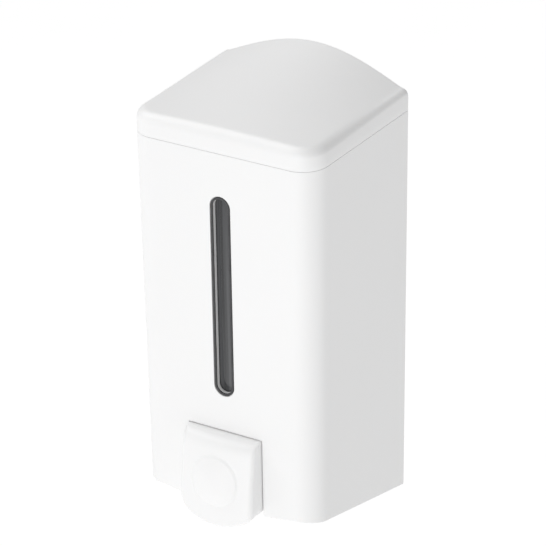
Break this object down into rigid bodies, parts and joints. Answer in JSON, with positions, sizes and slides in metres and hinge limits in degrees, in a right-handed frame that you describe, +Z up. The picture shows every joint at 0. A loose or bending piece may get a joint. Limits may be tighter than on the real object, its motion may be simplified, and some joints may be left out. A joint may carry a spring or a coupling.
{
  "type": "wall mounted soap dispenser",
  "caption": "Manual wall mounted liquid soap dispenser: white box casing with a lift-off arched lid, a level window and a push pad that works a piston pump over a nozzle underneath.",
  "frame": {"origin": "middle of the wall plate's back face, in the plane of the wall", "axes": "+Z up, +Y into the wall, +X to the right as seen from the front"},
  "size_m": [0.096, 0.0963, 0.2179],
  "materials": {
    "shell_white": "glossy moulded ABS",
    "inner_white": "satin moulded ABS",
    "dark_trim": "dark moulded trim",
    "smoked_lens": "polished smoked acrylic",
    "natural_tank": "translucent natural polypropylene",
    "pump_grey": "satin acetal",
    "silicone": "moulded silicone",
    "steel": "stainless steel"
  },
  "bodies": {
    "wall_plate": {"wall_plate": "inner_white"},
    "housing": {"front_shell": "shell_white", "rear_panel": "inner_white", "window_frame": "dark_trim", "window_lens": "smoked_lens", "soap_tank": "natural_tank", "tank_outlet_seal": "silicone", "pump_body": "pump_grey", "pump_end_cap": "pump_grey", "return_spring": "steel", "inlet_valve_seat": "silicone", "outlet_valve": "silicone", "nozzle": "pump_grey", "button_pivot_pin": "steel", "panel_screw_upper_left": "steel", "panel_screw_upper_right": "steel", "panel_screw_lower_left": "steel", "panel_screw_lower_right": "steel", "pump_screw_left": "steel", "pump_screw_right": "steel"},
    "lid": {"lid": "shell_white"},
    "push_button": {"push_button": "shell_white"},
    "piston": {"piston_rod": "inner_white", "piston_seal": "silicone"},
    "inlet_ball": {"inlet_valve_ball": "steel"}
  },
  "joints": [
    {"name": "housing_lift", "type": "slide", "parent": "wall_plate", "child": "housing", "axis": [0, 0, 1], "range_m": [0, 0.0066]},
    {"name": "lid_lift", "type": "slide", "parent": "housing", "child": "lid", "axis": [0, 0, 1], "range_m": [0, 0.06]},
    {"name": "button_press", "type": "hinge", "parent": "housing", "child": "push_button", "pos_m": [0, -0.076, -0.0465], "axis": [1, 0, 0], "range_deg": [0, 12], "stiffness_Nm_per_rad": 0.5, "springref_deg": -17.19},
    {"name": "piston_slide", "type": "slide", "parent": "housing", "child": "piston", "axis": [0, 1, 0], "range_m": [0, 0.0053], "deforming": ["return_spring"]},
    {"name": "inlet_ball_lift", "type": "slide", "parent": "housing", "child": "inlet_ball", "axis": [0, 0, 1], "range_m": [0, 0.0014]}
  ],
  "couplings": [
    {"joint": "piston_slide", "follows": "button_press", "m_per_rad": 0.0252}
  ]
}
